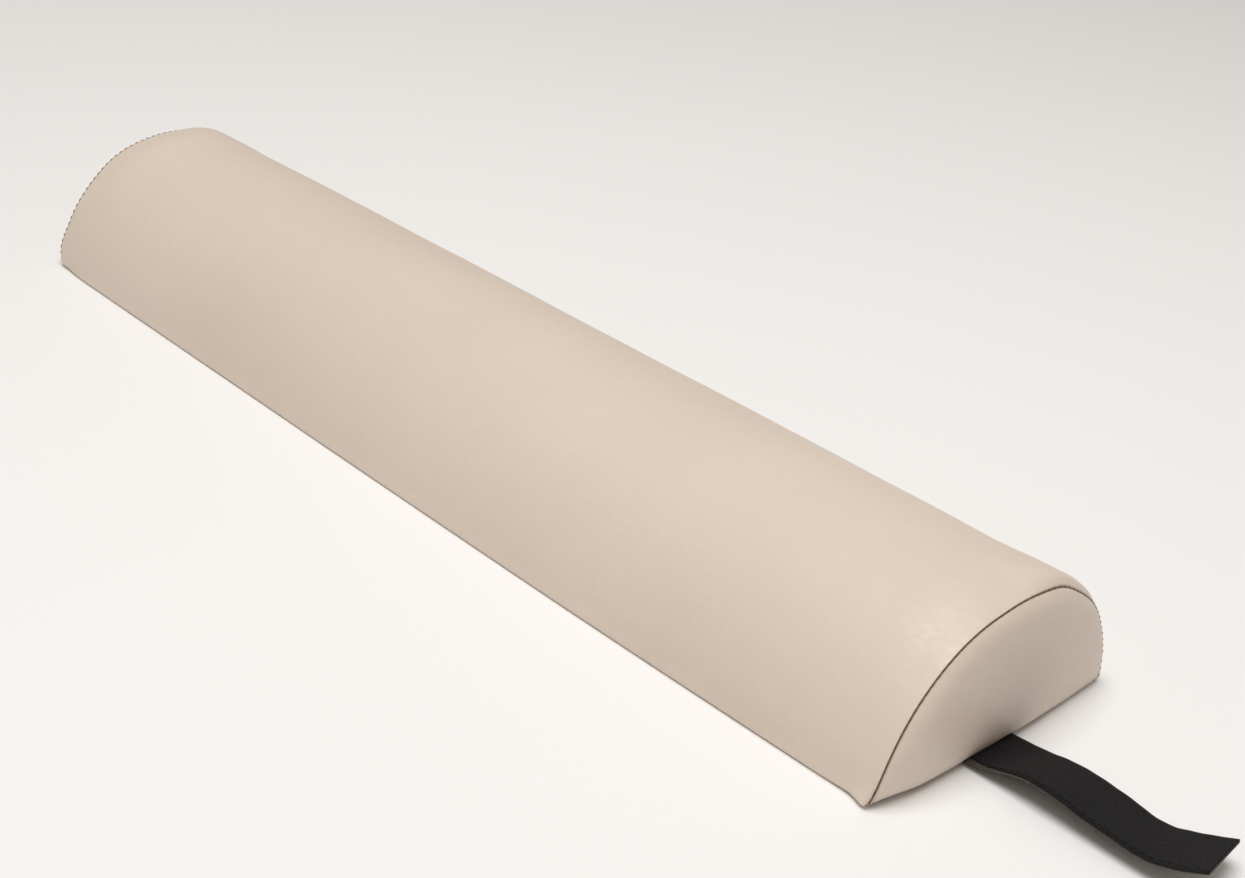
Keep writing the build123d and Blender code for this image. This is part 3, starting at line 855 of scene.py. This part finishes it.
def vinyl_finish():
    """Soft cream synthetic leather with a fine pebbled grain."""
    f = Finish("cream_vinyl", specular=0.45)
    cream = (0.745, 0.637, 0.54)
    broad = f.ramp(f.noise(9, 3), 0.3, 0.7)
    fine = f.ramp(f.noise(420, 5), 0.35, 0.65)
    tone = f.mixed(broad, shade(cream, 0.975), (0.77, 0.66, 0.565))
    tone = f.mixed(f.ramp(fine, 0, 1, 0.0, 0.12), tone, shade(cream, 0.8))
    handled = f.ramp(f.noise(38, 5), 0.55, 0.8, 0.0, 0.10)
    tone = f.mixed(handled, tone, (0.66, 0.53, 0.41))
    # Painted shade: the vinyl turns deep brown on the marked groove rows of the end seams, standing in
    # for the shadow down in the groove.
    seam = f.ramp(f.attribute("seam"), 0.1, 1.0, 0.0, 0.85)
    tone = f.mixed(seam, tone, (0.36, 0.26, 0.18))
    f.bump(f.cells(1250, feature="SMOOTH_F1"), 0.22, 0.06)
    f.bump(f.noise(2900, 4), 0.16, 0.03)
    f.bump(f.noise(75, 4), 0.18, 0.35)
    return f.done(tone, f.ramp(fine, 0, 1, 0.40, 0.52))


def loop_finish():
    """Black loop tape: a matted pile on a dark weave."""
    f = Finish("black_loop_pile", specular=0.12, sheen=0.04)
    pile = f.noise(1500, 6)
    tone = f.mixed(f.ramp(pile, 0.35, 0.7), (0.0055, 0.005, 0.0055), (0.022, 0.021, 0.0225))
    lint = f.ramp(f.cells(520), 0.0, 0.09, 0.35, 0.0)
    tone = f.mixed(lint, tone, (0.05, 0.05, 0.052))
    f.bump(pile, 0.9, 0.35)
    f.bump(f.cells(900), 0.5, 0.25)
    return f.done(tone, f.ramp(pile, 0.3, 0.7, 0.85, 0.98))


def hook_finish():
    """Dark hook tape: a close weave with rows of small stiff hooks."""
    f = Finish("dark_hook_tape", specular=0.25)
    hook_rows = f.waves(210, "X", 0.4)
    hook_columns = f.waves(230, "Y", 0.4)
    grain = f.noise(1300, 4)
    # The warm grey here, much lighter than the loop tape, is partly the tape's own dark colour and partly
    # painted reflection of the cream vinyl on its exposed edge.
    tone = f.mixed(f.ramp(grain, 0.3, 0.7), (0.055, 0.047, 0.038), (0.095, 0.084, 0.07))
    f.bump(hook_rows, 0.6, 0.3)
    f.bump(hook_columns, 0.6, 0.3)
    f.bump(grain, 0.5, 0.1)
    return f.done(tone, f.ramp(grain, 0, 1, 0.6, 0.8))


def thread_finish(name, colour, scale=900):
    """Twisted sewing thread."""
    f = Finish(name, specular=0.3, sheen=0.1)
    ply = f.waves(scale, "DIAGONAL", 1.0)
    tone = f.mixed(ply, shade(colour, 0.72), colour)
    f.bump(ply, 0.6, 0.12)
    return f.done(tone, f.ramp(ply, 0, 1, 0.55, 0.75))


def tape_finish():
    """Woven zip tape in a herringbone."""
    f = Finish("zip_tape_weave", specular=0.3, sheen=0.1)
    left = f.waves(560, "DIAGONAL", 0.3)
    right = f.waves(560, "DIAGONAL", 0.3, (1, -1, -1))
    cloth = f.noise(700, 4)
    tone = f.mixed(f.ramp(left, 0, 1), (0.56, 0.46, 0.36), (0.68, 0.58, 0.47))
    tone = f.mixed(f.ramp(cloth, 0.3, 0.7, 0, 0.4), tone, (0.5, 0.41, 0.31))
    f.bump(left, 0.5, 0.12)
    f.bump(right, 0.5, 0.12)
    return f.done(tone, f.ramp(cloth, 0, 1, 0.75, 0.9))


def coil_finish():
    """Dyed nylon filament."""
    f = Finish("zip_nylon_coil", specular=0.5)
    fleck = f.noise(350, 3)
    tone = f.mixed(f.ramp(fleck, 0.3, 0.7), (0.60, 0.49, 0.37), (0.72, 0.61, 0.49))
    f.bump(f.noise(1600, 3), 0.2, 0.05)
    return f.done(tone, f.ramp(fleck, 0, 1, 0.28, 0.42))


def metal_finish():
    """Nickel-plated zinc, brushed along its length and dulled by handling."""
    f = Finish("zip_nickel", metallic=1.0)
    brushed = f.noise(900, 3, (0.12, 1, 1))
    handled = f.noise(160, 5)
    tone = f.mixed(f.ramp(handled, 0.35, 0.7), (0.62, 0.60, 0.57), (0.42, 0.40, 0.37))
    f.bump(brushed, 0.25, 0.03)
    return f.done(tone, f.ramp(handled, 0.3, 0.7, 0.22, 0.42))


def foam_finish():
    """Open-cell foam."""
    f = Finish("cut_foam", specular=0.2)
    cell = f.cells(600)
    tone = f.mixed(f.ramp(cell, 0, 0.6), (0.45, 0.38, 0.2), (0.74, 0.66, 0.42))
    f.bump(cell, 0.8, 0.6)
    return f.done(tone, f.ramp(cell, 0, 0.6, 0.95, 0.8))


VINYL, LOOP, HOOK = vinyl_finish(), loop_finish(), hook_finish()
SEAM_THREAD = thread_finish("seam_thread", (0.17, 0.12, 0.08))
HEM_THREAD = thread_finish("hem_thread", (0.66, 0.54, 0.42))
BLACK_THREAD = thread_finish("black_thread", (0.012, 0.012, 0.0125))
ZIP_TAPE, ZIP_COIL, NICKEL, FOAM = tape_finish(), coil_finish(), metal_finish(), foam_finish()

# ------------------------------------------------------------------ what each piece is and rides on


def place(obj, material, slot, *nodes, body="bolster"):
    """Gives a piece its material and body, and hides the parts of model.glb that it stands for. slot is
    not used.
    """
    obj.data.materials.append(material)
    if body:
        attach(obj, body)
    if nodes:
        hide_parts(*nodes)


place(cover, VINYL, "cover_vinyl", "cover_wrap")
place(panels[STRAP_SIDE], VINYL, "cover_vinyl", "end_panel_strap_side")
place(panels[PLAIN_SIDE], VINYL, "cover_vinyl", "end_panel_plain")
place(foam, FOAM, "foam", "foam_core")
place(seam_threads[0], SEAM_THREAD, "cover_thread", "end_seam_thread_strap_side")
place(seam_threads[1], SEAM_THREAD, "cover_thread", "end_seam_thread_plain")
place(hem_threads[0], HEM_THREAD, "cover_thread", "zip_seam_thread_lower")
place(hem_threads[1], HEM_THREAD, "cover_thread", "zip_seam_thread_upper")
place(zip_tapes[0], ZIP_TAPE, "zip_tape", "zip_tape_upper")
place(zip_tapes[1], ZIP_TAPE, "zip_tape", "zip_tape_lower")
place(zip_coils[0], ZIP_COIL, "zip_coil", "zip_coil_upper")
place(zip_coils[1], ZIP_COIL, "zip_coil", "zip_coil_lower")
place(tack_thread, BLACK_THREAD, "strap_thread", "strap_tack_thread")

for obj, material, slot, nodes in (
    (loop_tape, LOOP, "loop_tape", ["strap_loop_tape"]),
    (hook_tape, HOOK, "hook_tape", ["strap_hook_tape", "strap_sewn_end"]),
    (edge_threads[0], BLACK_THREAD, "strap_thread", ["strap_edge_thread"]),
    (edge_threads[1], BLACK_THREAD, "strap_thread", []),
):
    place(obj, material, slot, *nodes, body=None)
    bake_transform(obj)

for name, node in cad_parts.items():
    node.data.materials.clear()
    node.data.materials.append(NICKEL if name.startswith(("zip_slider", "zip_pull", "zip_end")) else FOAM)

# ------------------------------------------------------------------ floor, light, camera


def build_floor():
    s = 6.0  # half its side, in metres
    mesh = bpy.data.meshes.new("floor")
    mesh.from_pydata([(-s, -s, 0), (s, -s, 0), (s, s, 0), (-s, s, 0)], [], [(0, 1, 2, 3)])
    obj = bpy.data.objects.new("floor", mesh)
    bpy.context.scene.collection.objects.link(obj)
    f = Finish("pale_floor", specular=0.2)
    cloud = f.noise(2.5, 2)
    tone = f.mixed(cloud, (0.93, 0.935, 0.945), (0.95, 0.955, 0.96))
    obj.data.materials.append(f.done(tone, f.ramp(cloud, 0, 1, 0.6, 0.7)))


def area_light(name, position, target, size, power, colour):
    """A round soft light that faces a target."""
    data = bpy.data.lights.new(name, "AREA")
    data.shape = "DISK"
    data.size = size
    data.energy = power
    data.color = colour
    obj = bpy.data.objects.new(name, data)
    bpy.context.scene.collection.objects.link(obj)
    obj.location = position
    obj.rotation_mode = "QUATERNION"
    obj.rotation_quaternion = (Vector(target) - Vector(position)).to_track_quat("-Z", "Y")


def build_camera(azimuth, elevation, roll, distance, across, up, focal):
    """A camera that looks from azimuth and elevation, is rolled, and then moved across and up."""
    a, e, r = (math.radians(v) for v in (azimuth, elevation, roll))
    back = Vector((math.sin(a) * math.cos(e), -math.cos(a) * math.cos(e), math.sin(e)))
    level = Vector((math.cos(a), math.sin(a), 0))
    upright = back.cross(level)
    right = level * math.cos(r) + upright * math.sin(r)
    top = upright * math.cos(r) - level * math.sin(r)
    data = bpy.data.cameras.new("camera")
    data.sensor_width = 36
    data.lens = focal
    data.clip_start, data.clip_end = 0.01, 50
    obj = bpy.data.objects.new("camera", data)
    bpy.context.scene.collection.objects.link(obj)
    eye = right * across + top * up + back * distance
    axes = (right, top, back, eye)
    obj.matrix_world = Matrix([[axis[k] for axis in axes] for k in range(3)] + [[0, 0, 0, 1]])
    bpy.context.scene.camera = obj


build_floor()
area_light("key", (0.28, -0.36, 2.2), (0, 0, 0), 1.5, 33, (1.0, 0.995, 0.985))
world = bpy.data.worlds.new("studio")
world.use_nodes = True
world.node_tree.nodes["Background"].inputs["Color"].default_value = (1, 0.93, 0.85, 1)
world.node_tree.nodes["Background"].inputs["Strength"].default_value = 0.39
bpy.context.scene.world = world
bpy.context.scene.view_settings.view_transform = "Standard"
# The view that makes the bolster's outline fall where the photograph has it.
build_camera(45.352, 27.487, 4.798, 0.963108, 0.064553, -0.000037, 54.79)
